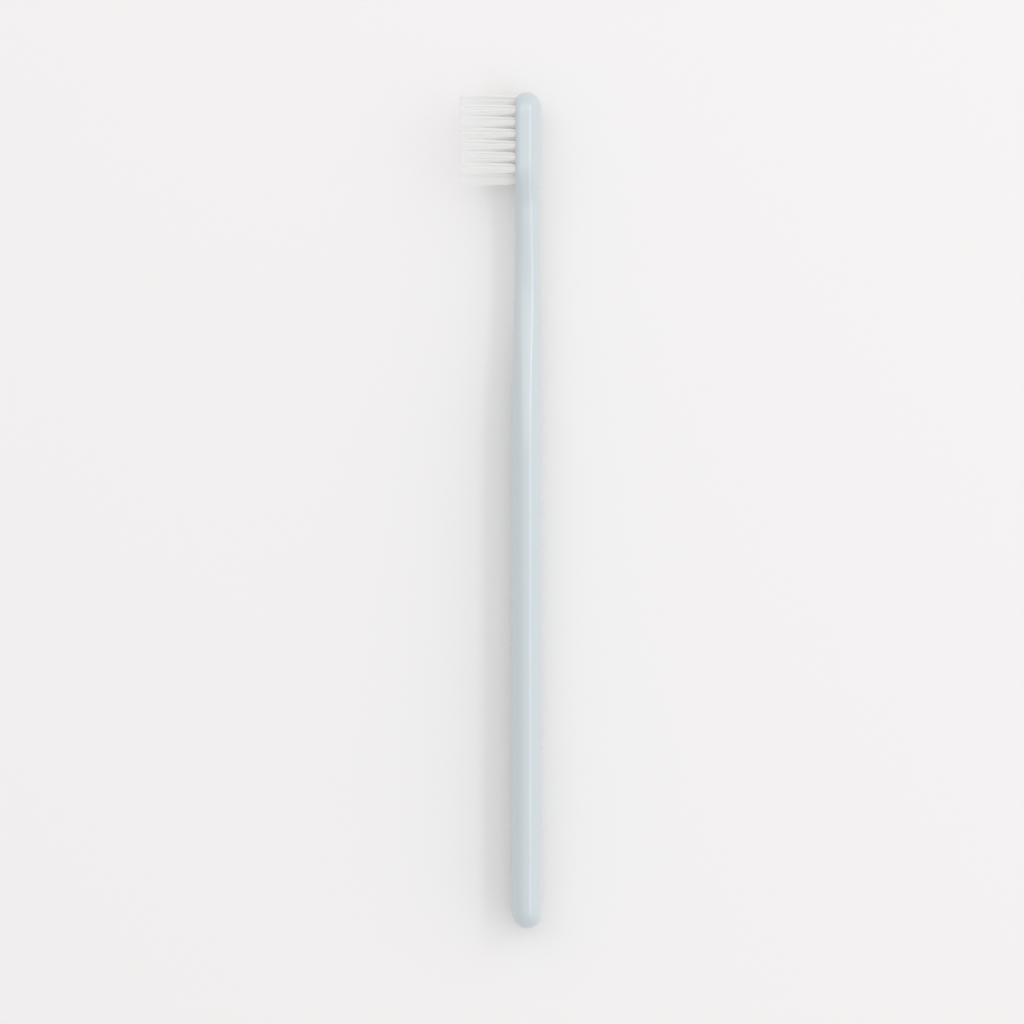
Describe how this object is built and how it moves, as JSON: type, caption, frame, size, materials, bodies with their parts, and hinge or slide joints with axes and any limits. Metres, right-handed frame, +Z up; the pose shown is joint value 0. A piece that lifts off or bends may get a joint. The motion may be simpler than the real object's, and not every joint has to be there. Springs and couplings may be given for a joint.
{
  "type": "toothbrush",
  "caption": "Slim manual toothbrush lying on its side: a rounded grip, a waisted neck and a small head whose trimmed bristle tufts are folded over metal anchors.",
  "frame": {"origin": "on the surface that the brush lies on, under the middle of its box", "axes": "+Y along the brush towards the tip, -X the way the bristles point, +Z up from the surface that it lies on"},
  "size_m": [0.0176, 0.178, 0.0106],
  "materials": {
    "handle": "pale blue polished moulded plastic",
    "anchor": "bright stamped plate",
    "bristle": "white extruded filament with rounded ends"
  },
  "bodies": {
    "root": {"handle": "handle", "anchors": "anchor", "tuft_row1_col2": "bristle", "tuft_row1_col3": "bristle", "tuft_row2_col1": "bristle", "tuft_row2_col2": "bristle", "tuft_row2_col3": "bristle", "tuft_row2_col4": "bristle", "tuft_row3_col1": "bristle", "tuft_row3_col2": "bristle", "tuft_row3_col3": "bristle", "tuft_row3_col4": "bristle", "tuft_row4_col1": "bristle", "tuft_row4_col2": "bristle", "tuft_row4_col3": "bristle", "tuft_row4_col4": "bristle", "tuft_row5_col1": "bristle", "tuft_row5_col2": "bristle", "tuft_row5_col3": "bristle", "tuft_row5_col4": "bristle", "tuft_row6_col1": "bristle", "tuft_row6_col2": "bristle", "tuft_row6_col3": "bristle", "tuft_row6_col4": "bristle", "tuft_row7_col1": "bristle", "tuft_row7_col2": "bristle", "tuft_row7_col3": "bristle", "tuft_row7_col4": "bristle", "tuft_row8_col2": "bristle", "tuft_row8_col3": "bristle"}
  },
  "joints": []
}
